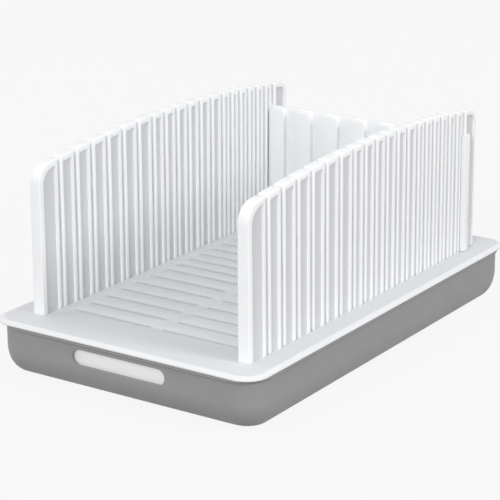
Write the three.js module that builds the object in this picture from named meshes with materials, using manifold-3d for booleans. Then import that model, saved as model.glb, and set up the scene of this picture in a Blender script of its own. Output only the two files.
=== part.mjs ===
// Bread slicer guide: a white cutting board with two slotted guides and a ribbed backstop,
// standing on a grey crumb tray with four rubber feet.
// Millimetres. +X is to the right, +Y runs from the front to the back, +Z is up. The origin
// is at the bottom centre of the outline, on the surface that the feet stand on.

import * as THREE from 'three';
import * as BufferGeometryUtils from 'three/addons/utils/BufferGeometryUtils.js';
import Module from 'manifold-3d';

const wasm = await Module();
wasm.setup();

// Driving dimensions of the cutting board

const sideMargin = 17.7;
const frontMargin = 22.5;
const rearMargin = 21.7;
const boardCorner = 15.5;
const boardThickness = 2.6;
const boardEdgeWidth = 4.5;
const boardEdgeShare = 0.6;
const boardLowerShare = 0.3;
const skirtWall = 2;
const troughWall = 2;
const crumbSlotWidth = 3;
const crumbSlotMargin = 9;
const crumbBridge = 9;

// Driving dimensions of the crumb tray

const trayHeight = 33.3;
const trayInset = 1.9;
const trayCorner = 20.8;
const trayWall = 2;
const trayFloor = 3;
const trayBottomRise = 17.8;
const traySideRound = 10.1;
const trayEndRound = 15.7;
const lipInset = 0.5;
const lipThickness = 1.2;
const lipFlare = 1.4;
const gripLength = 69;
const gripHeight = 10.2;
const gripDrop = 4.6;

// Driving dimensions of the rubber feet

const footRadius = 6.5;
const footProud = 1;
const footSocketDepth = 1.3;
const footEdge = 0.4;
const footInset = 31;

// Driving dimensions of the two slotted guides

const insideWidth = 146;
const guideThickness = 8.4;
const guideDraft = 1;
const crownAboveBoard = 104.8;
const crownRadius = 1050;
const crownOffset = 6;
const frontCorner = 11;
const rearCorner = 7;
const tongueDepth = 8;
const slotSink = 1.5;
const knifeSlot = 3.2;
const frontRib = 18;
const wideRib = 13;
const mediumRib = 10.2;
const thinRib = 7.4;
const rearRib = 15.1;
const ribsPerZone = 6;
const ribTopRound = 1.2;
const sideFrame = 2.2;
const frontFrame = 4;
const capBar = 3.6;
const pocketDepth = 1.2;
const pocketRound = 0.8;

// Driving dimensions of the backstop

const backstopHeight = 82.3;
const backstopSlot = 4;
const barCount = 7;
const barDepth = 4.2;
const barDrop = 0.8;
const barTopRound = 3;
const barWidthShare = 0.55;
const flangeProud = 3;
const flangeLength = 6.8;

// Clearances, and the overrun that every cut has

const seatGap = 0.3;
const slideGap = 0.3;
const overrun = 1;

// Resolution of the round stretches

const cornerSteps = 7;
const filletSteps = 5;
const edgeSteps = 3;
const footSides = 24;
const curveSteps = 4;
const holeSteps = 2;
const circleShare = 0.5523;

// Places worked out from the sizes

const trayBottom = footProud;
const trayTop = trayBottom + trayHeight;
const boardUnderside = trayTop + seatGap;
const boardTop = boardUnderside + boardThickness;
const innerFace = insideWidth / 2;
const outerFace = innerFace + guideThickness;
const guideCentre = (innerFace + outerFace) / 2;
const boardWidth = (outerFace + sideMargin) * 2;
const guideLength = listRibSpans(0).at(-1).rear;
const boardLength = frontMargin + guideLength + rearMargin;
const guideFront = frontMargin - boardLength / 2;
const ribSpans = listRibSpans(guideFront);
const guideRear = ribSpans[ribSpans.length - 1].rear;
const crownY = (guideFront + guideRear) / 2 + crownOffset;
const crownTop = boardTop + crownAboveBoard;
const skirtBottom = trayBottom + trayBottomRise;
const boardEdgeDrop = boardThickness * boardEdgeShare;
const boardLowerRound = boardThickness * boardLowerShare;
const tongueBottom = boardTop - tongueDepth;
const slotBottom = boardTop - slotSink;
const lastKnifeRib = ribSpans[ribSpans.length - 2];
const backstopY = lastKnifeRib.rear + backstopSlot / 2;

// Materials, one for each finish

const whiteBoard = new THREE.MeshStandardMaterial({ color: 0xe6eaec, roughness: 0.42, metalness: 0 });
const whiteGuide = new THREE.MeshStandardMaterial({ color: 0xf4f5f6, roughness: 0.38, metalness: 0 });
const greyTray = new THREE.MeshStandardMaterial({ color: 0x919191, roughness: 0.5, metalness: 0 });
const darkRubber = new THREE.MeshStandardMaterial({ color: 0x4a4b4c, roughness: 0.8, metalness: 0 });

// Where each rib of a guide starts and ends: a wide front rib, three zones of ribs for wide,
// medium and thin slices, and a wide rear rib behind the slot that holds the backstop.

function listRibSpans(start) {
  const widths = [frontRib];
  for (const zoneRib of [wideRib, mediumRib, thinRib]) {
    for (let count = 0; count < ribsPerZone; count += 1) {
      widths.push(zoneRib);
    }
  }
  widths.push(rearRib);
  const spans = [];
  let front = start;
  widths.forEach((width, index) => {
    spans.push({ front, rear: front + width });
    const slot = index === widths.length - 2 ? backstopSlot : knifeSlot;
    front += width + slot;
  });
  return spans;
}

// Solids from geometries, and back

function toSolid(geometry) {
  const bare = geometry.clone();
  bare.deleteAttribute('normal');
  bare.deleteAttribute('uv');
  const merged = BufferGeometryUtils.mergeVertices(bare);
  return new wasm.Manifold(new wasm.Mesh({
    numProp: 3,
    vertProperties: new Float32Array(merged.attributes.position.array),
    triVerts: new Uint32Array(merged.index.array),
  }));
}

function toGeometry(solid) {
  const mesh = solid.getMesh();
  const geometry = new THREE.BufferGeometry();
  geometry.setAttribute('position', new THREE.BufferAttribute(new Float32Array(mesh.vertProperties), 3));
  geometry.setIndex(new THREE.BufferAttribute(new Uint32Array(mesh.triVerts), 1));
  geometry.computeVertexNormals();
  return geometry;
}

function box(low, high) {
  const size = [high[0] - low[0], high[1] - low[1], high[2] - low[2]];
  const geometry = new THREE.BoxGeometry(...size);
  geometry.translate(low[0] + size[0] / 2, low[1] + size[1] / 2, low[2] + size[2] / 2);
  return toSolid(geometry);
}

function extrude(shape, depth, curveSegments = curveSteps) {
  return new THREE.ExtrudeGeometry(shape, { depth, bevelEnabled: false, curveSegments });
}

// A side outline is drawn with +Y along its first axis and +Z along its second, and a front
// outline with +X and +Z. Each is then stood up where it belongs.

function extrudeSideOutline(shape, lowX, highX) {
  const geometry = extrude(shape, highX - lowX);
  const along = new THREE.Matrix4().makeBasis(
    new THREE.Vector3(0, 1, 0),
    new THREE.Vector3(0, 0, 1),
    new THREE.Vector3(1, 0, 0),
  );
  geometry.applyMatrix4(along);
  geometry.translate(lowX, 0, 0);
  return toSolid(geometry);
}

function extrudeFrontOutline(shape, lowY, highY) {
  const geometry = extrude(shape, highY - lowY);
  geometry.rotateX(Math.PI / 2);
  geometry.translate(0, highY, 0);
  return toSolid(geometry);
}

// A quarter round that turns a corner of an outline

function turnCorner(path, from, corner, to) {
  path.bezierCurveTo(
    from[0] + (corner[0] - from[0]) * circleShare,
    from[1] + (corner[1] - from[1]) * circleShare,
    to[0] + (corner[0] - to[0]) * circleShare,
    to[1] + (corner[1] - to[1]) * circleShare,
    to[0],
    to[1],
  );
}

// An upright outline whose top corners are round

function roundTopOutline(left, right, bottom, top, round) {
  const outline = new THREE.Shape();
  outline.moveTo(left, bottom);
  outline.lineTo(right, bottom);
  outline.lineTo(right, top - round);
  turnCorner(outline, [right, top - round], [right, top], [right - round, top]);
  outline.lineTo(left + round, top);
  turnCorner(outline, [left + round, top], [left, top], [left, top - round]);
  outline.closePath();
  return outline;
}

// A long hole with round ends, along the first axis of the outline

function longHoleOutline(centreX, centreY, length, width) {
  const radius = width / 2;
  const straight = length / 2 - radius;
  const outline = new THREE.Shape();
  outline.moveTo(centreX - straight, centreY - radius);
  outline.lineTo(centreX + straight, centreY - radius);
  outline.absarc(centreX + straight, centreY, radius, -Math.PI / 2, Math.PI / 2, false);
  outline.lineTo(centreX - straight, centreY + radius);
  outline.absarc(centreX - straight, centreY, radius, Math.PI / 2, Math.PI * 1.5, false);
  return outline;
}

// A body whose level sections are rectangles with round corners. The rings run up the
// outside and down the inside. A body that has a bottom and a top face starts and ends on
// the axis, and a loop joins its last ring to its first.

function ringPoints(ring) {
  const points = [];
  const signs = [[1, 1], [-1, 1], [-1, -1], [1, -1]];
  signs.forEach(([signX, signY], quarter) => {
    for (let step = 0; step <= cornerSteps; step += 1) {
      const angle = (quarter + step / cornerSteps) * Math.PI / 2;
      points.push([
        signX * (ring.halfWidth - ring.corner) + ring.corner * Math.cos(angle),
        signY * (ring.halfLength - ring.corner) + ring.corner * Math.sin(angle),
      ]);
    }
  });
  return points;
}

function loftRings(rings, isLoop) {
  const positions = [];
  const triangles = [];
  const count = ringPoints(rings[0]).length;
  for (const ring of rings) {
    for (const [x, y] of ringPoints(ring)) {
      positions.push(x, y, ring.z);
    }
  }
  const bands = isLoop ? rings.length : rings.length - 1;
  for (let band = 0; band < bands; band += 1) {
    const low = band * count;
    const high = ((band + 1) % rings.length) * count;
    for (let index = 0; index < count; index += 1) {
      const next = (index + 1) % count;
      triangles.push(low + index, low + next, high + next);
      triangles.push(low + index, high + next, high + index);
    }
  }
  if (!isLoop) {
    const firstCentre = positions.length / 3;
    positions.push(0, 0, rings[0].z);
    const lastCentre = positions.length / 3;
    positions.push(0, 0, rings[rings.length - 1].z);
    const lastRing = (rings.length - 1) * count;
    for (let index = 0; index < count; index += 1) {
      const next = (index + 1) % count;
      triangles.push(firstCentre, next, index);
      triangles.push(lastCentre, lastRing + index, lastRing + next);
    }
  }
  const geometry = new THREE.BufferGeometry();
  geometry.setAttribute('position', new THREE.Float32BufferAttribute(positions, 3));
  geometry.setIndex(triangles);
  return toSolid(geometry);
}

// The ring that lies given distances inside the board's outline, for the board and the tray

function insetRing(insetX, insetY, corner, z) {
  return {
    halfWidth: boardWidth / 2 - insetX,
    halfLength: boardLength / 2 - insetY,
    corner: Math.max(corner, seatGap),
    z,
  };
}

function boardRing(inset, z) {
  return insetRing(inset, inset, boardCorner - inset, z);
}

function trayRing(inset, z) {
  return insetRing(inset, inset, trayCorner + trayInset - inset, z);
}

// A ring on the tray's bottom round, which is a quarter of an ellipse, wider at the ends than
// at the sides. The inside follows the outside at one wall's distance.

function trayRoundRing(step, wall, low) {
  const angle = (step / filletSteps) * Math.PI / 2;
  const inward = 1 - Math.sin(angle);
  const insetX = (traySideRound - wall) * inward;
  const insetY = (trayEndRound - wall) * inward;
  return insetRing(
    trayInset + wall + insetX,
    trayInset + wall + insetY,
    trayCorner - wall - (insetX + insetY) / 2,
    low + (trayBottomRise - wall) * (1 - Math.cos(angle)),
  );
}

// Crumb tray: a dish with a large bottom round, a thin flared lip and a grip slot at each end

function trayGeometry() {
  const rings = [];
  for (let step = 0; step <= filletSteps; step += 1) {
    rings.push(trayRoundRing(step, 0, trayBottom));
  }
  rings.push(trayRing(trayInset, trayTop - lipThickness - lipFlare));
  rings.push(trayRing(lipInset, trayTop - lipThickness));
  rings.push(trayRing(lipInset, trayTop));
  rings.push(trayRing(trayInset + trayWall, trayTop));
  for (let step = filletSteps; step >= 0; step -= 1) {
    rings.push(trayRoundRing(step, trayWall, trayBottom + trayFloor));
  }
  let tray = loftRings(rings, false);
  const gripZ = trayTop - gripDrop - gripHeight / 2;
  const wallOutside = boardLength / 2 - trayInset;
  for (const side of [-1, 1]) {
    const outline = longHoleOutline(0, gripZ, gripLength, gripHeight);
    const middle = side * (wallOutside - trayWall / 2);
    const reach = trayWall / 2 + overrun;
    tray = tray.subtract(extrudeFrontOutline(outline, middle - reach, middle + reach));
  }
  for (const [x, y] of footPlaces()) {
    const socket = new THREE.CylinderGeometry(
      footRadius + slideGap,
      footRadius + slideGap,
      footSocketDepth + overrun,
      footSides,
    );
    socket.rotateX(Math.PI / 2);
    socket.translate(x, y, trayBottom + footSocketDepth - (footSocketDepth + overrun) / 2);
    tray = tray.subtract(toSolid(socket));
  }
  return toGeometry(tray);
}

function footPlaces() {
  const x = boardWidth / 2 - footInset;
  const y = boardLength / 2 - footInset;
  return [[-x, -y], [x, -y], [-x, y], [x, y]];
}

// Rubber foot: a disc with a softened lower edge that sits in a shallow socket of the tray

function footGeometry() {
  const top = trayBottom + footSocketDepth - seatGap;
  const profile = [
    new THREE.Vector2(0, 0),
    new THREE.Vector2(footRadius - footEdge, 0),
    new THREE.Vector2(footRadius, footEdge),
    new THREE.Vector2(footRadius, top),
    new THREE.Vector2(0, top),
  ];
  const geometry = new THREE.LatheGeometry(profile, footSides);
  geometry.rotateX(Math.PI / 2);
  return toGeometry(toSolid(geometry));
}

// Cutting board: a plate with a broad soft edge, a skirt that centres it in the tray and hangs
// behind the grip slots, two troughs for the guides and rows of crumb slots

function boardPlate() {
  const rings = [];
  for (let step = 0; step <= edgeSteps; step += 1) {
    const angle = (step / edgeSteps) * Math.PI / 2;
    rings.push(boardRing(
      boardLowerRound * (1 - Math.sin(angle)),
      boardUnderside + boardLowerRound * (1 - Math.cos(angle)),
    ));
  }
  for (let step = edgeSteps; step >= 0; step -= 1) {
    const angle = (step / edgeSteps) * Math.PI / 2;
    rings.push(boardRing(
      boardEdgeWidth * (1 - Math.sin(angle)),
      boardTop - boardEdgeDrop * (1 - Math.cos(angle)),
    ));
  }
  return loftRings(rings, false);
}

function boardGeometry() {
  const plateMiddle = boardUnderside + boardThickness / 2;
  const skirtInset = trayInset + trayWall + slideGap;
  let board = boardPlate();
  board = board.add(loftRings([
    trayRing(skirtInset, skirtBottom),
    trayRing(skirtInset, plateMiddle),
    trayRing(skirtInset + skirtWall, plateMiddle),
    trayRing(skirtInset + skirtWall, skirtBottom),
  ], true));
  const grooveBottom = tongueBottom - seatGap;
  for (const side of [-1, 1]) {
    const middle = side * guideCentre;
    const halfGroove = guideThickness / 2 + slideGap;
    const halfTrough = halfGroove + troughWall;
    board = board.add(box(
      [middle - halfTrough, guideFront - slideGap - troughWall, grooveBottom - troughWall],
      [middle + halfTrough, guideRear + slideGap + troughWall, plateMiddle],
    ));
    board = board.subtract(box(
      [middle - halfGroove, guideFront - slideGap, grooveBottom],
      [middle + halfGroove, guideRear + slideGap, boardTop + overrun],
    ));
  }
  for (const outline of crumbSlotOutlines()) {
    const cutter = extrude(outline, boardThickness + overrun * 2, holeSteps);
    cutter.translate(0, 0, boardUnderside - overrun);
    board = board.subtract(toSolid(cutter));
  }
  return toGeometry(board);
}

// Two rows of crumb slots, one pair of slots under each knife slot

function crumbSlotOutlines() {
  const length = innerFace - crumbSlotMargin - crumbBridge / 2;
  const outlines = [];
  for (let index = 0; index < ribSpans.length - 2; index += 1) {
    const y = (ribSpans[index].rear + ribSpans[index + 1].front) / 2;
    for (const side of [-1, 1]) {
      const x = side * (crumbBridge / 2 + length / 2);
      outlines.push(longHoleOutline(x, y, length, crumbSlotWidth));
    }
  }
  return outlines;
}

// Slotted guide: a comb of ribs under an arched top, on a tongue that sits in the board. Both
// faces of each rib have a pocket with a frame along its slots and a cap across its top.

function crownHeight(y) {
  const across = y - crownY;
  return crownTop - crownRadius + Math.sqrt(crownRadius * crownRadius - across * across);
}

function traceRibTop(path, rib, drop) {
  const frontTop = crownHeight(rib.front) - drop;
  const rearTop = crownHeight(rib.rear) - drop;
  const rearStart = [rib.rear, rearTop - rib.rearRound];
  const rearEnd = [rib.rear - rib.rearRound, crownHeight(rib.rear - rib.rearRound) - drop];
  const frontStart = [rib.front + rib.frontRound, crownHeight(rib.front + rib.frontRound) - drop];
  const frontEnd = [rib.front, frontTop - rib.frontRound];
  path.lineTo(...rearStart);
  turnCorner(path, rearStart, [rib.rear, rearTop], rearEnd);
  path.lineTo(...frontStart);
  turnCorner(path, frontStart, [rib.front, frontTop], frontEnd);
}

function ribWithRounds(index) {
  const isFirst = index === 0;
  const isLast = index === ribSpans.length - 1;
  return {
    ...ribSpans[index],
    frontRound: isFirst ? frontCorner : ribTopRound,
    rearRound: isLast ? rearCorner : ribTopRound,
  };
}

function combOutline() {
  const outline = new THREE.Shape();
  outline.moveTo(guideFront, tongueBottom);
  outline.lineTo(guideRear, tongueBottom);
  for (let index = ribSpans.length - 1; index >= 0; index -= 1) {
    const rib = ribWithRounds(index);
    if (index < ribSpans.length - 1) {
      outline.lineTo(rib.rear, slotBottom);
    }
    traceRibTop(outline, rib, 0);
    if (index > 0) {
      outline.lineTo(rib.front, slotBottom);
    }
  }
  outline.closePath();
  return outline;
}

function pocketOutline(index) {
  const rib = ribWithRounds(index);
  const pocket = {
    front: rib.front + (index === 0 ? frontFrame : sideFrame),
    rear: rib.rear - sideFrame,
    frontRound: Math.max(rib.frontRound - sideFrame, pocketRound),
    rearRound: Math.max(rib.rearRound - sideFrame, pocketRound),
  };
  const outline = new THREE.Shape();
  outline.moveTo(pocket.front, slotBottom);
  outline.lineTo(pocket.rear, slotBottom);
  traceRibTop(outline, pocket, capBar);
  outline.closePath();
  return outline;
}

function guideGeometry(side) {
  let guide = extrudeSideOutline(combOutline(), innerFace, outerFace);
  ribSpans.forEach((span, index) => {
    const outline = pocketOutline(index);
    guide = guide.subtract(extrudeSideOutline(outline, outerFace - pocketDepth, outerFace + overrun));
    guide = guide.subtract(extrudeSideOutline(outline, innerFace - overrun, innerFace + pocketDepth));
  });
  return toGeometry(leanIn(side < 0 ? guide.mirror([1, 0, 0]) : guide));
}

// The outer face of a guide leans in towards its top, for the draft of its mould, and the
// flange of the backstop follows it. What lies outside the inner faces thins with height.

function leanIn(solid) {
  return solid.warp((point) => {
    const side = Math.sign(point[0]);
    const beyond = Math.abs(point[0]) - innerFace;
    const above = point[2] - boardTop;
    if (beyond > 0 && above > 0) {
      const thinning = (guideDraft / guideThickness) * (above / crownAboveBoard);
      point[0] = side * (innerFace + beyond * (1 - thinning));
    }
  });
}

// Backstop: a plate that drops into the rear slots of both guides, with upright bars on its
// front and a flange at each end that hooks round the outside of the guide

function backstopGeometry() {
  const bottom = boardTop + seatGap;
  const top = boardTop + backstopHeight;
  const halfPlate = backstopSlot / 2 - slideGap;
  const plateEnd = outerFace + slideGap;
  let backstop = box([-plateEnd, -halfPlate, bottom], [plateEnd, halfPlate, top]);
  const usable = insideWidth - slideGap * 2;
  const pitch = usable / (barCount - 1 + barWidthShare);
  const barWidth = pitch * barWidthShare;
  for (let index = 0; index < barCount; index += 1) {
    const left = index * pitch - usable / 2;
    const outline = roundTopOutline(left, left + barWidth, bottom, top - barDrop, barTopRound);
    backstop = backstop.add(extrudeFrontOutline(outline, -halfPlate - barDepth, 0));
  }
  for (const side of [-1, 1]) {
    const outline = roundTopOutline(-flangeLength / 2, flangeLength / 2, bottom, top, barTopRound);
    const near = side * plateEnd;
    const far = side * (plateEnd + flangeProud);
    backstop = backstop.add(extrudeSideOutline(outline, Math.min(near, far), Math.max(near, far)));
  }
  return toGeometry(leanIn(backstop));
}

// The assembly

function named(name, geometry, material, x, y) {
  const mesh = new THREE.Mesh(geometry, material);
  mesh.name = name;
  mesh.position.set(x, y, 0);
  return mesh;
}

const slicer = new THREE.Group();
slicer.name = 'bread_slicer_guide';
slicer.add(named('crumb_tray', trayGeometry(), greyTray, 0, 0));
const footNames = ['front_left_foot', 'front_right_foot', 'rear_left_foot', 'rear_right_foot'];
footPlaces().forEach(([x, y], index) => {
  slicer.add(named(footNames[index], footGeometry(), darkRubber, x, y));
});
slicer.add(named('cutting_board', boardGeometry(), whiteBoard, 0, 0));
slicer.add(named('left_guide', guideGeometry(-1), whiteGuide, 0, 0));
slicer.add(named('right_guide', guideGeometry(1), whiteGuide, 0, 0));
slicer.add(named('backstop', backstopGeometry(), whiteGuide, 0, backstopY));

export default slicer;
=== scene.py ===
# %% [markdown]
# A bread slicer guide. A white cutting board lies as a lid on a grey crumb tray. Two white
# slotted guides stand in grooves of the board, and a ribbed backstop drops into their rear
# slots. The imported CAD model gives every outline, and each CAD node gets a piece of its own
# here, with the soft edges, pockets and moulded finish that the real plastic has.
#
# Every length is in metres, in the frame of the CAD model: +X to the right, +Y from the
# front to the back and +Z up.

# %% Load the frame
import math

import bmesh
import bpy
from mathutils import Matrix, Vector


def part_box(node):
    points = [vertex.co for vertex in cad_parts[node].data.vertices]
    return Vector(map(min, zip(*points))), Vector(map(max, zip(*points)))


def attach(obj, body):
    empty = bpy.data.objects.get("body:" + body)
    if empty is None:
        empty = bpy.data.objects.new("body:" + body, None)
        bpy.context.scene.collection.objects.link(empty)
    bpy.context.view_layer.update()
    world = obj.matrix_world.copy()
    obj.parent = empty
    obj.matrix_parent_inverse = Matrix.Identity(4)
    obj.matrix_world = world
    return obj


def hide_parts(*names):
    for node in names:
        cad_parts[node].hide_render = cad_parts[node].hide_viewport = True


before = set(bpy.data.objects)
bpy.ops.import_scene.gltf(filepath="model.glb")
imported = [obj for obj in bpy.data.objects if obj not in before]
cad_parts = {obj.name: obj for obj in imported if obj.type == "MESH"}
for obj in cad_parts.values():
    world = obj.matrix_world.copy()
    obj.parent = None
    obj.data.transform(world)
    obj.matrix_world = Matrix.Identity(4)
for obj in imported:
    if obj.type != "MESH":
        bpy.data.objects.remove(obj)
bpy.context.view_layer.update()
MM = 0.001
print("nodes:", sorted(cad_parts))

# %% [markdown]
# Measuring comes first. A piece that replaces a CAD node has to fill the same space, so the
# places of the board, the tray, the guides and the backstop are read from the boxes of their
# nodes. The few sizes that a box can't tell, such as the depth of a pocket, follow here in
# millimetres times MM.

# %% Places from the frame
board_low, board_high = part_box("cutting_board")
tray_low, tray_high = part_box("crumb_tray")
guide_low, guide_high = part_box("right_guide")
stop_low, stop_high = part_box("backstop")
foot_low, foot_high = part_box("front_left_foot")

seat_gap = 0.3 * MM
slide_gap = 0.3 * MM
board_top = board_high.z
board_underside = tray_high.z + seat_gap
inner_face = guide_low.x
outer_face = guide_high.x
guide_front = guide_low.y
guide_rear = guide_high.y
crown_top = guide_high.z
tongue_bottom = guide_low.z
print("board top", round(board_top / MM, 2), "crown", round(crown_top / MM, 2))

# %% [markdown]
# The camera is placed like the one that took the photograph: turned about 34 degrees to the
# right of the front, looking down by about 18 degrees through a long lens from 1.3 metres,
# so the object shows little perspective. It aims at a point inside the object, and a roll of
# a tenth of a degree levels it as the photograph is.

# %% Camera
camera_azimuth = math.radians(33.83)
camera_elevation = math.radians(17.71)
camera_roll = math.radians(-0.14)
camera_distance = 1287.3 * MM
camera_aim = Vector((-7.05, -6.22, 56.19)) * MM
sensor_width = 36
photo_width = 500
focal_pixels = 1961
farthest_seen = 20


def direction_from(azimuth, elevation):
    return Vector((
        math.sin(azimuth) * math.cos(elevation),
        -math.cos(azimuth) * math.cos(elevation),
        math.sin(elevation),
    ))


towards_camera = direction_from(camera_azimuth, camera_elevation)
bpy.ops.object.select_all(action="DESELECT")
bpy.ops.object.camera_add()
camera = bpy.context.object
camera.name = "photo_camera"
camera.data.sensor_width = sensor_width
camera.data.lens = focal_pixels / photo_width * sensor_width
camera.data.clip_end = farthest_seen
turn = towards_camera.to_track_quat("Z", "Y").to_matrix().to_4x4()
roll = Matrix.Rotation(camera_roll, 4, "Z")
place = Matrix.Translation(camera_aim + towards_camera * camera_distance)
camera.matrix_world = place @ turn @ roll
bpy.context.scene.camera = camera
print("lens", round(camera.data.lens, 1), "mm")

# %% [markdown]
# Every piece but the feet has straight sides, so each of them starts as a block between two
# corners, at its real size and place, while its object stays at the origin. Blender's tools
# act on whatever is selected, so a piece is picked alone before it is opened in edit mode.

# %% Blocks and edit mode
def pick(piece):
    bpy.ops.object.select_all(action="DESELECT")
    piece.select_set(True)
    bpy.context.view_layer.objects.active = piece


def add_block(name, low, high):
    bpy.ops.object.select_all(action="DESELECT")
    centre = [(a + b) / 2 for a, b in zip(low, high)]
    size = [b - a for a, b in zip(low, high)]
    bpy.ops.mesh.primitive_cube_add(size=1, location=centre, scale=size)
    block = bpy.context.object
    block.name = name
    block.data.name = name
    bpy.ops.object.transform_apply(location=True, rotation=False, scale=True)
    return block


def open_piece(piece):
    pick(piece)
    bpy.ops.object.mode_set(mode="EDIT")
    bpy.ops.mesh.select_all(action="DESELECT")


def close_piece():
    bpy.ops.object.mode_set(mode="OBJECT")


# %% [markdown]
# Inside a piece, faces and edges are selected by a test on their place or direction. A face
# counts as facing along an axis when that part of its normal is above the share below, and
# two places count as the same when they are less than a hairline apart.

# %% Selecting and bevelling
hairline = 0.01 * MM
facing_share = 0.9


def near(a, b, slack=hairline):
    return abs(a - b) < slack


def select_faces(piece, wanted):
    bpy.ops.mesh.select_mode(type="FACE")
    bpy.ops.mesh.select_all(action="DESELECT")
    mesh = bmesh.from_edit_mesh(piece.data)
    for face in mesh.faces:
        face.select_set(wanted(face.calc_center_median(), face.normal))
    bmesh.update_edit_mesh(piece.data)


def select_edges(piece, wanted):
    bpy.ops.mesh.select_mode(type="EDGE")
    bpy.ops.mesh.select_all(action="DESELECT")
    mesh = bmesh.from_edit_mesh(piece.data)
    for edge in mesh.edges:
        start, end = (vertex.co for vertex in edge.verts)
        edge.select_set(wanted(start, end))
    bmesh.update_edit_mesh(piece.data)


def bevel_selected(width, segments):
    bpy.ops.mesh.bevel(
        offset=width,
        offset_type="OFFSET",
        segments=segments,
        clamp_overlap=False,
    )


# %% [markdown]
# Slots and grooves are cut with boolean modifiers, as a milling cutter would cut them in the
# mould, and the skirt and troughs are joined to the board in the same way. A modifier is
# applied at once, so that the next step works on the finished shape.

# %% Cutting and joining
def apply_modifier(piece, kind, **settings):
    pick(piece)
    modifier = piece.modifiers.new(kind.lower(), kind)
    for name, value in settings.items():
        setattr(modifier, name, value)
    bpy.ops.object.modifier_apply(modifier=modifier.name)


def combine(piece, other, operation):
    apply_modifier(piece, "BOOLEAN", object=other, operation=operation, solver="EXACT")
    bpy.data.objects.remove(other)


# %% [markdown]
# Moulded plastic has no sharp edges. Every remaining edge of a finished piece is given a
# bevel weight and one bevel modifier rounds them all, less where the weight is smaller.
# Smooth shading is kept off the true corners.

# %% Soft edges and shading
def soften(piece, width, segments=3, angle=40, share=None):
    mesh = bmesh.new()
    mesh.from_mesh(piece.data)
    weight = mesh.edges.layers.float.new("bevel_weight_edge")
    for edge in mesh.edges:
        if len(edge.link_faces) == 2 and edge.calc_face_angle() > math.radians(angle):
            start, end = (vertex.co for vertex in edge.verts)
            edge[weight] = share(start, end) if share else 1
    mesh.to_mesh(piece.data)
    mesh.free()
    apply_modifier(
        piece,
        "BEVEL",
        width=width,
        segments=segments,
        limit_method="WEIGHT",
        use_clamp_overlap=False,
    )


def shade(piece, angle=35):
    pick(piece)
    bpy.ops.object.shade_smooth_by_angle(angle=math.radians(angle))


def count_triangles(piece):
    return sum(len(polygon.vertices) - 2 for polygon in piece.data.polygons)


# %% [markdown]
# Each guide is a comb of twenty ribs on one bar. The front rib is wide, then come six broad,
# six medium and six narrow ribs, which set three thicknesses of cut, and a wide rear rib
# behind the slot for the backstop. The ribs are laid out first, from the front to the back.

# %% Rib layout
knife_slot = 3.2 * MM
backstop_slot = 4 * MM
slot_sink = 1.5 * MM
front_rib = 18 * MM
broad_rib = 13 * MM
medium_rib = 10.2 * MM
narrow_rib = 7.4 * MM
rear_rib = 15.1 * MM
ribs_of_a_kind = 6
rib_widths = [front_rib]
for width in (broad_rib, medium_rib, narrow_rib):
    rib_widths += [width] * ribs_of_a_kind
rib_widths.append(rear_rib)
slot_bottom = board_top - slot_sink

ribs = []
rib_start = guide_front
for index, width in enumerate(rib_widths):
    ribs.append((rib_start, rib_start + width))
    is_before_backstop = index == len(rib_widths) - 2
    rib_start += width + (backstop_slot if is_before_backstop else knife_slot)
print(len(ribs), "ribs, the last ends at", round(ribs[-1][1] / MM, 2), "mm")
print("the guide ends at", round(guide_rear / MM, 2), "mm")

# %% [markdown]
# The comb could be cut from a block by nineteen cutters. Here the bar is cut into strips
# instead and the strips under the ribs are extruded, because that keeps the faces clean for
# the pockets and for the bevel. The tops will follow an arch, so its formula comes here too.

# %% Bar with ribs
crown_radius = 1050 * MM
crown_offset = 6 * MM
crown_y = (guide_front + guide_rear) / 2 + crown_offset


def crown_height(y):
    return crown_top - crown_radius + math.sqrt(crown_radius ** 2 - (y - crown_y) ** 2)


def is_in_rib(y):
    return any(front < y < rear for front, rear in ribs)


right_guide = add_block(
    "white_guide_right",
    (inner_face, guide_front, tongue_bottom),
    (outer_face, guide_rear, slot_bottom),
)
open_piece(right_guide)
for front, rear in ribs:
    for cut in (front, rear):
        if guide_front < cut - slide_gap and cut + slide_gap < guide_rear:
            bpy.ops.mesh.select_all(action="SELECT")
            bpy.ops.mesh.bisect(plane_co=(0, cut, 0), plane_no=(0, 1, 0))
select_faces(
    right_guide,
    lambda centre, normal: normal.z > facing_share and is_in_rib(centre.y),
)
bpy.ops.mesh.extrude_region_move(
    TRANSFORM_OT_translate={"value": (0, 0, crown_top - slot_bottom)}
)
close_piece()
print("comb of", len(right_guide.data.polygons), "faces")

# %% [markdown]
# Seen from the side, the tops of the ribs follow one shallow arch that is highest a little
# behind the middle. Each top edge is lowered to the arch. The outer corners of the front and
# rear ribs then get the large rounds that the hand meets first.

# %% Arched top and end corners
front_corner = 11 * MM
rear_corner = 7 * MM

open_piece(right_guide)
for rib in ribs:
    for y in rib:
        select_edges(
            right_guide,
            lambda a, b: near(a.z, crown_top) and near(b.z, crown_top)
            and near(a.y, y) and near(b.y, y),
        )
        bpy.ops.transform.translate(value=(0, 0, crown_height(y) - crown_top))
for y, corner in ((guide_front, front_corner), (guide_rear, rear_corner)):
    select_edges(
        right_guide,
        lambda a, b: near(a.y, y) and near(b.y, y) and a.z > board_top and b.z > board_top
        and near(a.z, b.z),
    )
    bevel_selected(corner, segments=10)
close_piece()
print("front corner at", round(crown_height(guide_front) / MM, 1), "mm")

# %% [markdown]
# Both faces of every rib have a shallow pocket, which saves plastic and leaves a frame along
# the slots and a cap across the top. Insetting the faces one by one draws all forty frames
# at the width of the side frame. Their points are sorted into the upper, the lower and the
# foremost ones, because those frames have other widths.

# %% Pocket frames
side_frame = 2.2 * MM
front_frame = 4 * MM
cap_bar = 3.6 * MM
foot_frame = 0.5 * MM
front_zone_end = guide_front + front_corner + side_frame / 2

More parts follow.
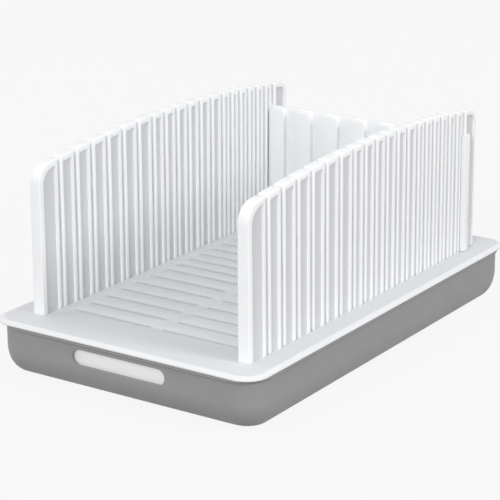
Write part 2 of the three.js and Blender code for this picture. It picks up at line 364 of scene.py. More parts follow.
open_piece(right_guide)
select_faces(
    right_guide,
    lambda centre, normal: abs(normal.x) > facing_share and centre.z > board_top,
)
bpy.ops.mesh.inset(thickness=side_frame, use_individual=True)
guide_mesh = bmesh.from_edit_mesh(right_guide.data)
upper_points = set()
lower_points = set()
front_points = set()
for face in guide_mesh.faces:
    if not face.select:
        continue
    for vertex in face.verts:
        is_low = vertex.co.z < board_top + side_frame
        (lower_points if is_low else upper_points).add(vertex)
        if vertex.co.y < front_zone_end:
            front_points.add(vertex)
chosen_faces = [face for face in guide_mesh.faces if face.select]
print(len(chosen_faces), "pockets")

# %% [markdown]
# The upper points now come down to leave the cap, the lower points go down into the groove of
# the board, and the foremost points move back to leave the broad front frame. Then all the
# framed faces are pushed in together, and the upper corners of the pockets are rounded.

# %% Pockets
pocket_depth = 1.2 * MM
pocket_round = 1.2 * MM


def move_points(points, offset):
    bpy.ops.mesh.select_mode(type="VERT")
    bpy.ops.mesh.select_all(action="DESELECT")
    for vertex in points:
        vertex.select_set(True)
    bpy.ops.transform.translate(value=offset)


move_points(upper_points, (0, 0, side_frame - cap_bar))
move_points(lower_points, (0, 0, foot_frame - side_frame))
move_points(front_points, (0, front_frame - side_frame, 0))
bpy.ops.mesh.select_mode(type="FACE")
bpy.ops.mesh.select_all(action="DESELECT")
for face in chosen_faces:
    face.select_set(True)
bpy.ops.mesh.extrude_region_shrink_fatten(
    TRANSFORM_OT_shrink_fatten={"value": -pocket_depth}
)


def is_pocket_corner(a, b):
    crosses_wall = near(abs(a.x - b.x), pocket_depth) and near(a.y, b.y) and near(a.z, b.z)
    is_high = a.z > (board_top + crown_top) / 2
    is_at_front_round = a.y < front_zone_end + front_frame
    is_at_rear_round = a.y > guide_rear - rear_corner - side_frame
    return crosses_wall and is_high and not (is_at_front_round or is_at_rear_round)


select_edges(right_guide, is_pocket_corner)
bevel_selected(pocket_round, segments=3)
close_piece()
print("guide has", count_triangles(right_guide), "triangles before the edges are softened")

# %% [markdown]
# A mould is drafted so that the part lets go of it: the outer face of the guide leans in by
# one millimetre on its way up. The lean is a shear that grows with height. It also acts on
# the flanges of the backstop, so it is kept as a function for both. The outer edges of the
# guide are softened most, the edges along the knife slots a quarter as much, and the pocket
# edges a third.

# %% Draft and soft edges
guide_draft = 1 * MM
guide_edge = 0.9 * MM
slot_edge_share = 0.25
pocket_edge_share = 0.35


def lean_in(piece):
    thickness = outer_face - inner_face
    for vertex in piece.data.vertices:
        beyond = abs(vertex.co.x) - inner_face
        above = vertex.co.z - board_top
        if beyond > 0 and above > 0:
            thinning = guide_draft / thickness * above / (crown_top - board_top)
            vertex.co.x -= math.copysign(beyond * thinning, vertex.co.x)


def is_in_cap(point):
    return point.z > crown_height(point.y) - cap_bar / 2


def edge_share(start, end):
    is_at_end = near(start.y, guide_front) or near(start.y, guide_rear)
    is_cap_edge = is_in_cap(start) and is_in_cap(end)
    if is_at_end or is_cap_edge or near(start.z, tongue_bottom):
        return 1
    if any(near(start.y, y) and near(end.y, y) for rib in ribs for y in rib):
        return slot_edge_share
    return pocket_edge_share


soften(right_guide, guide_edge, segments=3, share=edge_share)
lean_in(right_guide)
shade(right_guide)
print("the top is", round((crown_top - board_top) / MM, 1), "mm above the board")

# %% [markdown]
# The left guide is the mirror image of the right one. It is a copy with its own mesh, turned
# over by a mirror operator. Mirroring turns the faces inside out, so their normals are then
# recalculated to point outwards.

# %% Second guide
pick(right_guide)
bpy.ops.object.duplicate()
left_guide = bpy.context.object
left_guide.name = "white_guide_left"
left_guide.data.name = "white_guide_left"
bpy.ops.transform.mirror(constraint_axis=(True, False, False), center_override=(0, 0, 0))
bpy.ops.object.transform_apply(location=True, rotation=True, scale=True)
open_piece(left_guide)
bpy.ops.mesh.select_all(action="SELECT")
bpy.ops.mesh.normals_make_consistent(inside=False)
close_piece()
print("each guide has", count_triangles(right_guide), "triangles")

# %% [markdown]
# The backstop is a plate with seven upright bars on its front, which stiffen it. At both ends
# it passes through the guide and widens to a flange outside it. The bars are evenly spaced
# between the guides, so their places follow from their number and from their width, which is
# a share of the spacing.

# %% Backstop layout
bar_count = 7
bar_depth = 4.2 * MM
bar_drop = 0.8 * MM
bar_width_share = 0.55
plate_half = backstop_slot / 2 - slide_gap
plate_y = stop_low.y + bar_depth + plate_half
plate_end = outer_face + slide_gap
usable = (inner_face - slide_gap) * 2
pitch = usable / (bar_count - 1 + bar_width_share)
bar_spans = []
for index in range(bar_count):
    left = index * pitch - usable / 2
    bar_spans.append((left, left + pitch * bar_width_share))
print(bar_count, "bars,", round(pitch / MM, 1), "mm apart")

# %% [markdown]
# The bars are strips of the plate's own front face. The plate is cut along their edges and
# the strips are extruded, so plate and bars stay one closed body. Then the upper corners of
# the bars are rounded.

# %% Backstop plate and bars
bar_round = 3 * MM
bar_top = stop_high.z - bar_drop

backstop = add_block(
    "white_backstop",
    (-plate_end, plate_y - plate_half, stop_low.z),
    (plate_end, plate_y + plate_half, stop_high.z),
)
open_piece(backstop)
for span in bar_spans:
    for cut in span:
        bpy.ops.mesh.select_all(action="SELECT")
        bpy.ops.mesh.bisect(plane_co=(cut, 0, 0), plane_no=(1, 0, 0))
bpy.ops.mesh.select_all(action="SELECT")
bpy.ops.mesh.bisect(plane_co=(0, 0, bar_top), plane_no=(0, 0, 1))


def is_bar_face(centre, normal):
    is_in_bar = any(left < centre.x < right for left, right in bar_spans)
    return normal.y < -facing_share and centre.z < bar_top and is_in_bar


select_faces(backstop, is_bar_face)
bpy.ops.mesh.extrude_region_move(TRANSFORM_OT_translate={"value": (0, -bar_depth, 0)})
select_edges(
    backstop,
    lambda a, b: near(a.z, bar_top) and near(b.z, bar_top) and near(abs(a.y - b.y), bar_depth),
)
bevel_selected(bar_round, segments=5)
close_piece()
print("the bars end", round(bar_drop / MM, 1), "mm below the top of the plate")

# %% [markdown]
# The flanges are extruded from the ends of the plate, first outwards and then to the front
# and the back, and their upper corners are rounded like the bars. Faces that lie in one plane
# are merged at the end, so that no seam is left for the next step to round.

# %% Backstop flanges
flange_proud = 3 * MM
flange_half = plate_half * 2
seam_angle = math.radians(1)

open_piece(backstop)
select_faces(
    backstop,
    lambda centre, normal: abs(normal.x) > facing_share and near(abs(centre.x), plate_end),
)
bpy.ops.mesh.extrude_region_shrink_fatten(TRANSFORM_OT_shrink_fatten={"value": flange_proud})
select_faces(
    backstop,
    lambda centre, normal: abs(normal.y) > facing_share and abs(centre.x) > plate_end,
)
bpy.ops.mesh.extrude_region_shrink_fatten(
    TRANSFORM_OT_shrink_fatten={"value": flange_half - plate_half}
)
select_edges(
    backstop,
    lambda a, b: near(a.z, stop_high.z) and near(b.z, stop_high.z)
    and near(abs(a.y - plate_y), flange_half) and near(a.y, b.y),
)
bevel_selected(bar_round, segments=5)
bpy.ops.mesh.select_all(action="SELECT")
bpy.ops.mesh.dissolve_limited(angle_limit=seam_angle)
close_piece()
print("the flanges stand", round(flange_proud / MM, 1), "mm proud of the plate's ends")

# %% [markdown]
# The edges of the backstop are softened all over. Where a bar meets the plate the edges get
# only a fifth of that, because little of the plate is left above the bars.

# %% Soft edges of the backstop
stop_edge = 0.6 * MM
bar_foot_share = 0.2
plate_front = plate_y - plate_half


def stop_edge_share(start, end):
    is_on_plate = near(start.y, plate_front) and near(end.y, plate_front)
    is_bar_foot = is_on_plate and not near(start.z, stop_high.z)
    return bar_foot_share if is_bar_foot else 1


lean_in(backstop)
soften(backstop, stop_edge, segments=3, share=stop_edge_share)
shade(backstop)
print("backstop has", count_triangles(backstop), "triangles")

# %% [markdown]
# The crumb tray is a deep dish with a large round where its wall meets the floor. The real
# round is taller than it is wide, and wider at the ends than at the sides. A bevel can only
# make a quarter of a circle, so each of its points then moves to its place on the ellipse:
# sideways by the difference in width, and upwards in proportion. The inside has the same
# round, one wall smaller, so the function takes the wall away from every size.

# %% Rounds of the tray
tray_wall = 2 * MM
bottom_rise = 17.8 * MM
side_round = 10.1 * MM
end_round = 15.7 * MM
round_top_share = 1.001


def round_upright_edges(piece, radius, segments):
    select_edges(piece, lambda a, b: near(a.x, b.x) and near(a.y, b.y))
    bevel_selected(radius, segments)


def round_bottom(piece, low, wall):
    radius = (side_round + end_round) / 2 - wall
    select_edges(piece, lambda a, b: near(a.z, low) and near(b.z, low))
    bevel_selected(radius, segments=10)
    points = bmesh.from_edit_mesh(piece.data)
    for vertex in points.verts:
        height = max(0, (vertex.co.z - low) / radius)
        if height < round_top_share:
            inward = 1 - math.sqrt(max(0, 1 - (1 - height) ** 2))
            side = math.copysign(1, vertex.co.x)
            end = math.copysign(1, vertex.co.y)
            vertex.co.x += side * (radius + wall - side_round) * inward
            vertex.co.y += end * (radius + wall - end_round) * inward
            vertex.co.z = low + height * (bottom_rise - wall)
    bmesh.update_edit_mesh(piece.data)


print("bottom round", round(side_round / MM, 1), "mm at the sides,", round(end_round / MM, 1),
      "mm at the ends")

# %% [markdown]
# The tray has round corners and a thin lip that flares out under the board. It grows
# downwards from the lip: the bottom face is inset and lowered at once for the flare, then
# extruded for the wall, and its edge gets the round.

# %% Tray body
tray_inset = 1.9 * MM
tray_corner = 20.8 * MM
lip_inset = 0.5 * MM
lip_thickness = 1.2 * MM
lip_flare = 1.4 * MM
wall_drop = tray_high.z - lip_thickness - lip_flare - tray_low.z

tray = add_block(
    "grey_crumb_tray",
    (tray_low.x, tray_low.y, tray_high.z - lip_thickness),
    tray_high,
)
open_piece(tray)
round_upright_edges(tray, tray_corner + tray_inset - lip_inset, segments=14)
select_faces(tray, lambda centre, normal: normal.z < -facing_share)
bpy.ops.mesh.inset(thickness=tray_inset - lip_inset, depth=lip_flare)
bpy.ops.mesh.extrude_region_move(TRANSFORM_OT_translate={"value": (0, 0, -wall_drop)})
round_bottom(tray, tray_low.z, wall=0)
close_piece()
print("tray stands on", round(min(v.co.z for v in tray.data.vertices) / MM, 2), "mm")

# %% [markdown]
# The inside of the tray is cut out with a block of the same form, one wall smaller. It reaches
# past the top by an overrun, because a boolean needs to pass through a face, not touch it.

# %% Tray cavity
overrun = 5 * MM
tray_floor = 3 * MM
wall_x = tray_high.x - (tray_inset - lip_inset)
wall_y = tray_high.y - (tray_inset - lip_inset)

cavity = add_block(
    "tray_cavity",
    (tray_wall - wall_x, tray_wall - wall_y, tray_low.z + tray_floor),
    (wall_x - tray_wall, wall_y - tray_wall, tray_high.z + overrun),
)
open_piece(cavity)
round_upright_edges(cavity, tray_corner - tray_wall, segments=14)
round_bottom(cavity, tray_low.z + tray_floor, wall=tray_wall)
close_piece()
combine(tray, cavity, "DIFFERENCE")
print("tray wall", round(tray_wall / MM, 1), "mm, floor", round(tray_floor / MM, 1), "mm")

# %% [markdown]
# A hand slot in each end wall lets the fingers hook the tray. One long block with round ends
# cuts both slots in one pass. Its rounds stop a hairline short of half its height, because
# two rounds that met exactly would leave points on top of each other.

# %% Hand slots
grip_length = 69 * MM
grip_height = 10.2 * MM
grip_drop = 4.6 * MM

grip_top = tray_high.z - grip_drop
grip_cutter = add_block(
    "grip_cutter",
    (-grip_length / 2, tray_low.y - overrun, grip_top - grip_height),
    (grip_length / 2, tray_high.y + overrun, grip_top),
)
open_piece(grip_cutter)
select_edges(grip_cutter, lambda a, b: near(a.x, b.x) and near(a.z, b.z))
bevel_selected(grip_height / 2 - hairline, segments=8)
close_piece()
combine(tray, grip_cutter, "DIFFERENCE")
print("hand slots", round(grip_length / MM), "mm long")

# %% [markdown]
# Each foot sits in a shallow socket of the tray's underside. The places of the feet are read
# from the frame, and four short discs cut the sockets. All the edges of the tray are then
# softened, which finishes it.

# %% Foot sockets
socket_depth = 1.3 * MM
disc_sides = 40
tray_edge = 0.35 * MM


def add_disc(name, x, y, low, high, radius):
    bpy.ops.object.select_all(action="DESELECT")
    bpy.ops.mesh.primitive_cylinder_add(
        vertices=disc_sides,
        radius=radius,
        depth=high - low,
        location=(x, y, (low + high) / 2),
    )
    disc = bpy.context.object
    disc.name = name
    disc.data.name = name
    bpy.ops.object.transform_apply(location=True, rotation=True, scale=True)
    return disc


foot_centres = []
for node in ("front_left_foot", "front_right_foot", "rear_left_foot", "rear_right_foot"):
    low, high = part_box(node)
    foot_centres.append((node, (low.x + high.x) / 2, (low.y + high.y) / 2))
foot_radius = (foot_high.y - foot_low.y) / 2
for node, x, y in foot_centres:
    bottom, top = tray_low.z - socket_depth, tray_low.z + socket_depth
    socket = add_disc("foot_socket", x, y, bottom, top, foot_radius + slide_gap)
    combine(tray, socket, "DIFFERENCE")
soften(tray, tray_edge, segments=2, angle=30)
shade(tray)
print("tray has", count_triangles(tray), "triangles")

# %% [markdown]
# The board's rim could be bevelled, but a bevel is as high as it is wide and the rim is
# shallow. Insetting the flat face in steps while it rises gives any profile: equal angles of a
# quarter turn for a round, and straight steps for a slope. A short step at each end of the
# slope keeps its shading crisp.

# %% Rounds and slopes of the board
crisp_step = 0.3 * MM


def round_selected_face(width, rise, steps):
    for step in range(steps):
        start = math.radians(90) * step / steps
        end = math.radians(90) * (step + 1) / steps
        bpy.ops.mesh.inset(
            thickness=width * (math.cos(start) - math.cos(end)),
            depth=rise * (math.sin(end) - math.sin(start)),
        )


def slope_selected_face(width, rise):
    for run in (crisp_step, width - 2 * crisp_step, crisp_step):
        bpy.ops.mesh.inset(thickness=run, depth=rise * run / width)
    bpy.ops.mesh.inset(thickness=crisp_step, depth=0)


# %% [markdown]
# The board is a thin plate whose top falls away to its rim in a shallow slope with a small
# round at its foot, and its lower edge has a round too. The block is the upright part that is
# left between them, and the rim grows from its top and bottom faces.

# %% Board plate
board_corner = 15.5 * MM
board_edge_width = 3.5 * MM
board_edge_drop = 1.56 * MM
board_edge_round = 0.6 * MM
board_lower_round = 0.78 * MM

board = add_block(
    "white_cutting_board",
    (board_low.x, board_low.y, board_underside + board_lower_round),
    (board_high.x, board_high.y, board_top - board_edge_drop),
)
open_piece(board)
round_upright_edges(board, board_corner, segments=14)
select_faces(board, lambda centre, normal: normal.z > facing_share)
round_selected_face(board_edge_round, board_edge_round, steps=4)
slope_selected_face(board_edge_width - board_edge_round, board_edge_drop - board_edge_round)
select_faces(board, lambda centre, normal: normal.z < -facing_share)
round_selected_face(board_lower_round, board_lower_round, steps=3)
close_piece()
print("board plate", round((board_top - board_underside) / MM, 2), "mm thick")

# %% [markdown]
# A skirt under the plate centres the board in the tray and shows white through the hand
# slots. It is a closed loop of wall: a block with a smaller block taken out.

# %% Skirt
skirt_wall = 2 * MM
plate_middle = (board_top + board_underside) / 2
skirt_x = wall_x - tray_wall - slide_gap
skirt_y = wall_y - tray_wall - slide_gap
skirt_corner = tray_corner - tray_wall - slide_gap

skirt = add_block(
    "crumb_skirt",
    (-skirt_x, -skirt_y, board_low.z),
    (skirt_x, skirt_y, plate_middle),
)
open_piece(skirt)
round_upright_edges(skirt, skirt_corner, segments=14)
close_piece()
skirt_inside = add_block(
    "skirt_inside",
    (skirt_wall - skirt_x, skirt_wall - skirt_y, board_low.z - overrun),
    (skirt_x - skirt_wall, skirt_y - skirt_wall, plate_middle + overrun),
)
open_piece(skirt_inside)
round_upright_edges(skirt_inside, skirt_corner - skirt_wall, segments=14)
close_piece()
combine(skirt, skirt_inside, "DIFFERENCE")
combine(board, skirt, "UNION")
print("skirt", round((plate_middle - board_low.z) / MM, 1), "mm deep")

# %% [markdown]
# The guides stand in two long grooves, which are deeper than the plate is thick. So each
# groove has a trough around it, a block that hangs under the plate and is joined to it before
# the groove is cut.

# %% Troughs and grooves
trough_wall = 2 * MM
groove_bottom = tongue_bottom - seat_gap
guide_centre = (inner_face + outer_face) / 2
groove_half = (outer_face - inner_face) / 2 + slide_gap
groove_front = guide_front - slide_gap
groove_rear = guide_rear + slide_gap
trough_half = groove_half + trough_wall
for side in (-1, 1):
    middle = side * guide_centre
    trough = add_block(
        "trough",
        (middle - trough_half, groove_front - trough_wall, groove_bottom - trough_wall),
        (middle + trough_half, groove_rear + trough_wall, plate_middle),
    )
    combine(board, trough, "UNION")
    groove = add_block(
        "groove",
        (middle - groove_half, groove_front, groove_bottom),
        (middle + groove_half, groove_rear, board_top + overrun),
    )
    combine(board, groove, "DIFFERENCE")
print("board now has", count_triangles(board), "triangles")

# %% [markdown]
# Two rows of narrow slots lead down into the tray, one pair under each knife slot. They are
# all alike, so one cutter is shaped first, a block with round ends.

# %% One crumb slot
crumb_slot_width = 3 * MM
crumb_slot_margin = 9 * MM
crumb_bridge = 9 * MM
crumb_slot_length = inner_face - crumb_slot_margin - crumb_bridge / 2

first_slot = add_block(
    "crumb_slots",
    (crumb_bridge / 2, -crumb_slot_width / 2, board_underside - overrun),
    (crumb_bridge / 2 + crumb_slot_length, crumb_slot_width / 2, board_top + overrun),
)
open_piece(first_slot)
round_upright_edges(first_slot, crumb_slot_width / 2 - hairline, segments=5)
close_piece()
print("a crumb slot is", round(crumb_slot_length / MM, 1), "mm long")

# %% [markdown]
# The cutter is copied to the middle of each knife slot, on the right and on the left, and
# every copy has its own mesh. All the copies are joined and cut the board together. The cut
# edges are then softened, which finishes the board.

# %% All the crumb slots
board_cut_edge = 0.3 * MM

slot_copies = []
for (_, rear), (front, _) in zip(ribs[:-2], ribs[1:-1]):
    for shift in (0, -crumb_bridge - crumb_slot_length):
        copy = first_slot.copy()
        copy.data = first_slot.data.copy()
        bpy.context.collection.objects.link(copy)
        copy.location = (shift, (rear + front) / 2, 0)
        slot_copies.append(copy)
bpy.data.objects.remove(first_slot)
bpy.ops.object.select_all(action="DESELECT")
for copy in slot_copies:
    copy.select_set(True)
bpy.context.view_layer.objects.active = slot_copies[0]
bpy.ops.object.transform_apply(location=True, rotation=False, scale=False)
bpy.ops.object.join()
slot_cutter = bpy.context.object
combine(board, slot_cutter, "DIFFERENCE")
soften(board, board_cut_edge, segments=2, angle=50)
shade(board, angle=30)
print(len(slot_copies), "crumb slots, board has", count_triangles(board), "triangles")

# %% [markdown]
# Four rubber feet keep the tray from sliding. Each is a short disc with a soft lower edge and
# a shallow cup in its underside, which grips a smooth worktop.

# %% Feet
foot_ring = 1.6 * MM
cup_slope = 0.5 * MM
cup_depth = 0.4 * MM
foot_edge = 0.25 * MM
feet = []
for node, x, y in foot_centres:
    foot = add_disc("rubber_" + node, x, y, foot_low.z, foot_high.z, foot_radius)
    open_piece(foot)
    select_faces(foot, lambda centre, normal: normal.z < -facing_share)
    bpy.ops.mesh.inset(thickness=foot_ring)
    bpy.ops.mesh.inset(thickness=cup_slope, depth=-cup_depth)
    close_piece()
    soften(foot, foot_edge, segments=2)
    shade(foot)
    feet.append((foot, node))
print(len(feet), "feet of", round(foot_radius * 2 / MM, 1), "mm")

# %% [markdown]
# Materials are built from nodes. Their colours are written as the hex values that a screen
# shows, and one function turns them to the linear values that Blender calculates with, by
# the sRGB curve. One more function adds a node with its settings and links. The colour
# sockets of a Mix node have the same names as its number sockets, so they are told apart by
# their index.

# %% Material helpers
mix_first = 6
mix_second = 7
mix_result = 2


def linear(hex_colour):
    channels = [int(hex_colour[index:index + 2], 16) / 255 for index in (1, 3, 5)]
    values = [c / 12.92 if c <= 0.04045 else ((c + 0.055) / 1.055) ** 2.4 for c in channels]
    return (*values, 1)


def add_node(owner, kind, settings=None, inputs=None, links=None):
    tree = owner.node_tree
    node = tree.nodes.new(kind)
    for name, value in (settings or {}).items():
        setattr(node, name, value)
    for name, value in (inputs or {}).items():
        node.inputs[name].default_value = value
    for name, source in (links or {}).items():
        tree.links.new(source, node.inputs[name])
    return node


# %% [markdown]
# All the plastic parts are injection moulded polypropylene. The shade and the gloss of such a
# part change a little over its length, as the plastic flowed and cooled, and slow noises draw
# that. Nearly all of a noise lies between the low and high values below, so the gloss is
# spread over that range.

# %% Patterns of the polypropylene
cloud_size = 60 * MM
flow_size = 12 * MM
noise_low = 0.3
noise_high = 0.7
polypropylene_ior = 1.49
print("shade changes over", round(cloud_size / MM), "mm, gloss over", round(flow_size / MM), "mm")

# %% [markdown]
# What differs from part to part is the surface of the mould: polished for the guides, finely
# spark-eroded for the board, and satin for the tray. So one function makes the plastic from
# its two close shades, its roughness range and the size and depth of its mould texture, which
# a fine noise draws as a bump. The real texture is a tenth of a millimetre wide or less and
# would not show, so it is drawn about eight times as coarse.

# %% Moulded polypropylene
def moulded_plastic(name, light, dark, gloss, rough, grain_size, grain_depth):
    material = bpy.data.materials.new(name)
    material.use_nodes = True
    material.node_tree.nodes.clear()
    place = add_node(material, "ShaderNodeTexCoord").outputs["Object"]
    noises = []
    patterns = ((cloud_size, 3, 0.5), (flow_size, 4, 0.6), (grain_size, 2, 0.5))
    for size, detail, roughness in patterns:
        noise = add_node(
            material, "ShaderNodeTexNoise",
            inputs={"Scale": 1 / size, "Detail": detail, "Roughness": roughness},
            links={"Vector": place},
        )
        noises.append(noise.outputs["Fac"])
    cloud, flow, grain = noises
    shade_mix = add_node(
        material, "ShaderNodeMix",
        settings={"data_type": "RGBA"},
        inputs={mix_first: linear(light), mix_second: linear(dark)},
        links={"Factor": cloud},
    )
    gloss_range = add_node(
        material, "ShaderNodeMapRange",
        inputs={"From Min": noise_low, "From Max": noise_high, "To Min": gloss, "To Max": rough},
        links={"Value": flow},
    )
    bump = add_node(
        material, "ShaderNodeBump",
        inputs={"Strength": 1, "Distance": grain_depth},
        links={"Height": grain},
    )
    shader = add_node(
        material, "ShaderNodeBsdfPrincipled",
        inputs={"IOR": polypropylene_ior},
        links={
            "Base Color": shade_mix.outputs[mix_result],
            "Roughness": gloss_range.outputs["Result"],
            "Normal": bump.outputs["Normal"],
        },
    )
    add_node(material, "ShaderNodeOutputMaterial", links={"Surface": shader.outputs["BSDF"]})
    return material


# %% [markdown]
# The six plastics of this object follow: two for the guides and the backstop, three for the
# board and one for the tray.

# %% The six plastics
# The polished mould gives the guides a soft gloss with hardly any grain.
polished_white = moulded_plastic(
    "polished_white_polypropylene", "#F6F7F8", "#F2F3F4",
    gloss=0.32, rough=0.4, grain_size=0.9 * MM, grain_depth=0.008 * MM,
)
# The floors of the pockets are left as the tool cut them, so they are duller; their greyer colour
# is painted shade, the shade that falls in the pockets.
pocket_white_painted_shade = moulded_plastic(
    "pocket_white_painted_shade_polypropylene", "#D5D6D9", "#D1D2D5",
    gloss=0.55, rough=0.65, grain_size=0.7 * MM, grain_depth=0.02 * MM,
)
# The eroded mould gives the board's top a fine, dull grain that spreads the light.
eroded_white = moulded_plastic(
    "fine_matte_white_polypropylene", "#E0E2E5", "#DCDEE1",
    gloss=0.5, rough=0.6, grain_size=0.8 * MM, grain_depth=0.03 * MM,
)
# The grain ends at the board's rim, where the same plastic is smooth; its lighter colour is a
# painted highlight, the light that the rim catches.
rim_white_painted_highlight = moulded_plastic(
    "smooth_rim_painted_highlight_polypropylene", "#EBECEE", "#E8E9EB",
    gloss=0.34, rough=0.42, grain_size=0.9 * MM, grain_depth=0.008 * MM,
)
# The skirt and troughs of the board are smooth and bare of grain; their whiter colour is painted
# light, which lifts the shade where the skirt shows in the hand slots.
bare_white_painted_light = moulded_plastic(
    "smooth_bare_painted_light_polypropylene", "#FCFCFC", "#FAFAFA",
    gloss=0.36, rough=0.44, grain_size=0.9 * MM, grain_depth=0.008 * MM,
)
# The satin mould gives the tray an even grey with a broad, dim shine.
satin_grey = moulded_plastic(
    "satin_grey_polypropylene", "#959595", "#909090",
    gloss=0.45, rough=0.55, grain_size=0.7 * MM, grain_depth=0.02 * MM,
)
print("six moulded plastics")

# %% [markdown]
# The feet are moulded rubber: dark grey and quite dull, with a coarse grain from the mould
# and a faint bloom that lightens it in places. Both are drawn with a noise, and the bloom is
# the slower one.

# %% Patterns of the rubber
rubber_grain = 0.5 * MM
rubber_bloom = 6 * MM

rubber = bpy.data.materials.new("dark_moulded_rubber")
rubber.use_nodes = True
rubber.node_tree.nodes.clear()
rubber_place = add_node(rubber, "ShaderNodeTexCoord").outputs["Object"]
bloom = add_node(
    rubber, "ShaderNodeTexNoise",
    inputs={"Scale": 1 / rubber_bloom, "Detail": 4},
    links={"Vector": rubber_place},
)
rubber_grain_noise = add_node(
    rubber, "ShaderNodeTexNoise",
    inputs={"Scale": 1 / rubber_grain, "Detail": 2},
    links={"Vector": rubber_place},
)
print("rubber grain", round(rubber_grain / MM, 1), "mm, bloom", round(rubber_bloom / MM), "mm")

# %% [markdown]
# The bloom mixes two close shades of the rubber, and the grain drives the bump of its dull
# shader.

# %% Moulded rubber
rubber_grain_depth = 0.05 * MM
rubber_roughness = 0.8
rubber_ior = 1.52

rubber_shade = add_node(
    rubber, "ShaderNodeMix",
    settings={"data_type": "RGBA"},
    inputs={mix_first: linear("#454647"), mix_second: linear("#525354")},
    links={"Factor": bloom.outputs["Fac"]},
)
rubber_bump = add_node(
    rubber, "ShaderNodeBump",
    inputs={"Strength": 1, "Distance": rubber_grain_depth},
    links={"Height": rubber_grain_noise.outputs["Fac"]},
)
rubber_shader = add_node(
    rubber, "ShaderNodeBsdfPrincipled",
    inputs={"Roughness": rubber_roughness, "IOR": rubber_ior},
    links={
        "Base Color": rubber_shade.outputs[mix_result],
        "Normal": rubber_bump.outputs["Normal"],
    },
)
add_node(rubber, "ShaderNodeOutputMaterial", links={"Surface": rubber_shader.outputs["BSDF"]})
print("rubber for the feet, roughness", rubber_roughness)

# %% [markdown]
# Every piece now gets its material and its place in the model: it rides on the body that moves it
# and stands for the CAD node that it replaces, which is hidden.

# %% Dress the frame
pieces = [
    (tray, "crumb_tray", "tray_base", "tray_grey", satin_grey),
    (board, "cutting_board", "board_lid", "board_white", eroded_white),
    (left_guide, "left_guide", "guide_left", "guide_white", polished_white),
    (right_guide, "right_guide", "guide_right", "guide_white", polished_white),
    (backstop, "backstop", "stop_plate", "guide_white", polished_white),
]
for foot, node in feet:
    pieces.append((foot, node, "tray_base", "foot_rubber", rubber))
for piece, node, body, slot, material in pieces:
    piece.data.materials.clear()
    piece.data.materials.append(material)
    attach(piece, body)
    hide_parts(node)
print(len(pieces), "pieces dressed")

# %% [markdown]
# The board has three finishes. Its top and flat underside keep the grain. What hangs under
# the plate is bare, and its whiter colour is painted light. The faces of the rim, which lie close
# to the board's outline, are smooth, and their lighter colour is a painted highlight.

# %% Finishes and painted light of the board
rim_highlight_reach = 9 * MM
painted_light_drop = 0.5 * MM

board.data.materials.append(bare_white_painted_light)
bare_painted_light_index = len(board.data.materials) - 1
board.data.materials.append(rim_white_painted_highlight)
rim_highlight_index = len(board.data.materials) - 1
for polygon in board.data.polygons:
    x, y, z = polygon.center
    to_side = min(board_high.x - abs(x), board_high.y - abs(y))
    if z < board_underside - painted_light_drop:
        polygon.material_index = bare_painted_light_index
    elif z > board_underside and not near(z, board_top) and to_side < rim_highlight_reach:
        polygon.material_index = rim_highlight_index
print("board finishes:", [material.name for material in board.data.materials])

# %% [markdown]
# The floors of the guides' pockets get their duller plastic, whose darker colour is painted shade
# for the pockets. A floor is known by its place: it lies a pocket's depth behind the inner face,
# or behind the outer face with its draft.

# %% Finishes and painted shade of the guides
floor_facing_share = 0.95
floor_slack = 0.3 * MM


def draft_at(z):
    return guide_draft * (z - board_top) / (crown_top - board_top)


def is_pocket_floor(centre, normal):
    if abs(normal.x) < floor_facing_share or centre.z < slot_bottom:
        return False
    behind_inner = abs(centre.x) - inner_face
    behind_outer = outer_face - draft_at(centre.z) - abs(centre.x)
    behind_faces = (behind_inner, behind_outer)
    return any(near(behind, pocket_depth, floor_slack) for behind in behind_faces)


for guide in (left_guide, right_guide):
    guide.data.materials.append(pocket_white_painted_shade)
    painted_shade_index = len(guide.data.materials) - 1
    floors = [face for face in guide.data.polygons if is_pocket_floor(face.center, face.normal)]
    for face in floors:
        face.material_index = painted_shade_index
    print(guide.name, "has", len(floors), "dull faces")

# %% [markdown]
# The object stands on a pale floor, which isn't part of it.

# %% Floor
floor_size = 8

bpy.ops.object.select_all(action="DESELECT")
bpy.ops.mesh.primitive_plane_add(size=floor_size, location=(0, 0, 0))
floor = bpy.context.object
floor.name = "pale_floor"
print("floor", floor_size, "m wide")

# %% [markdown]
# The floor is a light grey paper. It bounces little light on the tray, so that the tray
# darkens towards its foot and under its lip as in the photograph. A Light Path node tells
# which rays come from the camera or a reflection. They see mostly a plain white, which is
# mixed with the paper, so that the floor still takes the object's shadow.

# %% Paper of the floor
floor_whitening = 0.9

floor_paper = bpy.data.materials.new("matte_grey_paper")
floor_paper.use_nodes = True
floor_paper.node_tree.nodes.clear()
rays = add_node(floor_paper, "ShaderNodeLightPath")
camera_or_gloss = add_node(
    floor_paper, "ShaderNodeMath",
    settings={"operation": "MAXIMUM"},
    links={0: rays.outputs["Is Camera Ray"], 1: rays.outputs["Is Glossy Ray"]},
)
whitening = add_node(
    floor_paper, "ShaderNodeMath",
    settings={"operation": "MULTIPLY"},
    inputs={1: floor_whitening},
    links={0: camera_or_gloss.outputs["Value"]},
)
paper = add_node(
    floor_paper, "ShaderNodeBsdfDiffuse",
    inputs={"Color": linear("#ACACAC")},
)
plain_white = add_node(
    floor_paper, "ShaderNodeEmission",
    inputs={"Color": linear("#FFFFFF"), "Strength": 1},
)
floor_mix = add_node(
    floor_paper, "ShaderNodeMixShader",
    links={
        "Fac": whitening.outputs["Value"],
        1: paper.outputs["BSDF"],
        2: plain_white.outputs["Emission"],
    },
)
add_node(floor_paper, "ShaderNodeOutputMaterial", links={"Surface": floor_mix.outputs["Shader"]})
floor.data.materials.append(floor_paper)
print("the camera sees", floor_whitening, "of plain white on the floor")

# %% [markdown]
# A white surround gives the broad part of the light. It lights the object at a modest level,
# and a Light Path node like the floor's makes it nearly plain white where the camera or a
# reflection sees it.

# %% White surround
world_level = 0.66
seen_level = 0.95

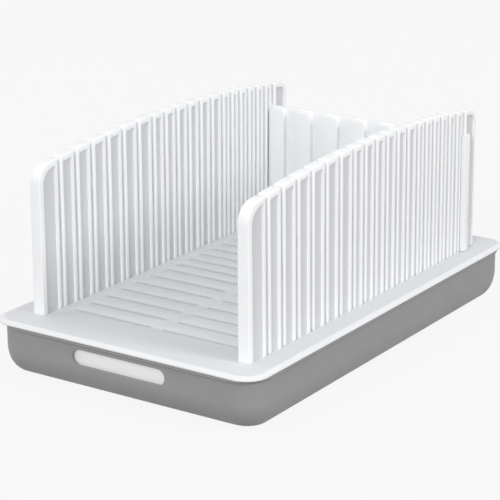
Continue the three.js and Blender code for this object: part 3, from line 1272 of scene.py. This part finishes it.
world = bpy.data.worlds.new("white_surround")
bpy.context.scene.world = world
world.use_nodes = True
world.node_tree.nodes.clear()
world_rays = add_node(world, "ShaderNodeLightPath")
seen_or_mirrored = add_node(
    world, "ShaderNodeMath",
    settings={"operation": "MAXIMUM"},
    links={0: world_rays.outputs["Is Camera Ray"], 1: world_rays.outputs["Is Glossy Ray"]},
)
surround_level = add_node(
    world, "ShaderNodeMapRange",
    inputs={"To Min": world_level, "To Max": seen_level},
    links={"Value": seen_or_mirrored.outputs["Value"]},
)
surround = add_node(
    world, "ShaderNodeBackground",
    inputs={"Color": (1, 1, 1, 1)},
    links={"Strength": surround_level.outputs["Result"]},
)
add_node(world, "ShaderNodeOutputWorld", links={"Surface": surround.outputs["Background"]})
print("surround lights at", world_level, "and is seen at", seen_level)

# %% [markdown]
# The light in the photograph is broad, but it still draws fine shadows, and they tell where
# the lamps stood. The knife slots are dark and the pockets darken towards the front, so the
# strongest lamp glances along the guides from the front. Each cap draws a thin dark line on
# its pocket, so a second lamp stands on the right. The board is darker beside the right
# guide than in front of it, so a third lamp stands on the left, behind the guides for that
# strip. The strengths are balanced so that a colour renders about as it is written.

# %% Lamps
lamp_aim = Vector((0, 0, 50)) * MM


def add_soft_lamp(name, azimuth, elevation, distance, size, power):
    direction = direction_from(math.radians(azimuth), math.radians(elevation))
    bpy.ops.object.select_all(action="DESELECT")
    bpy.ops.object.light_add(type="AREA", location=lamp_aim + direction * distance)
    lamp = bpy.context.object
    lamp.name = name
    lamp.data.shape = "DISK"
    lamp.data.size = size
    lamp.data.energy = power
    lamp.rotation_euler = direction.to_track_quat("Z", "Y").to_euler()


add_soft_lamp("front_lamp", azimuth=15, elevation=26, distance=2.4, size=0.6, power=19.4)
add_soft_lamp("right_lamp", azimuth=92, elevation=27, distance=2.1, size=0.5, power=13.5)
add_soft_lamp("left_lamp", azimuth=-60, elevation=35, distance=2.4, size=0.9, power=5.6)
bpy.context.scene.view_settings.view_transform = "Standard"
print("three soft lamps, aimed", round(lamp_aim.z / MM), "mm above the floor")
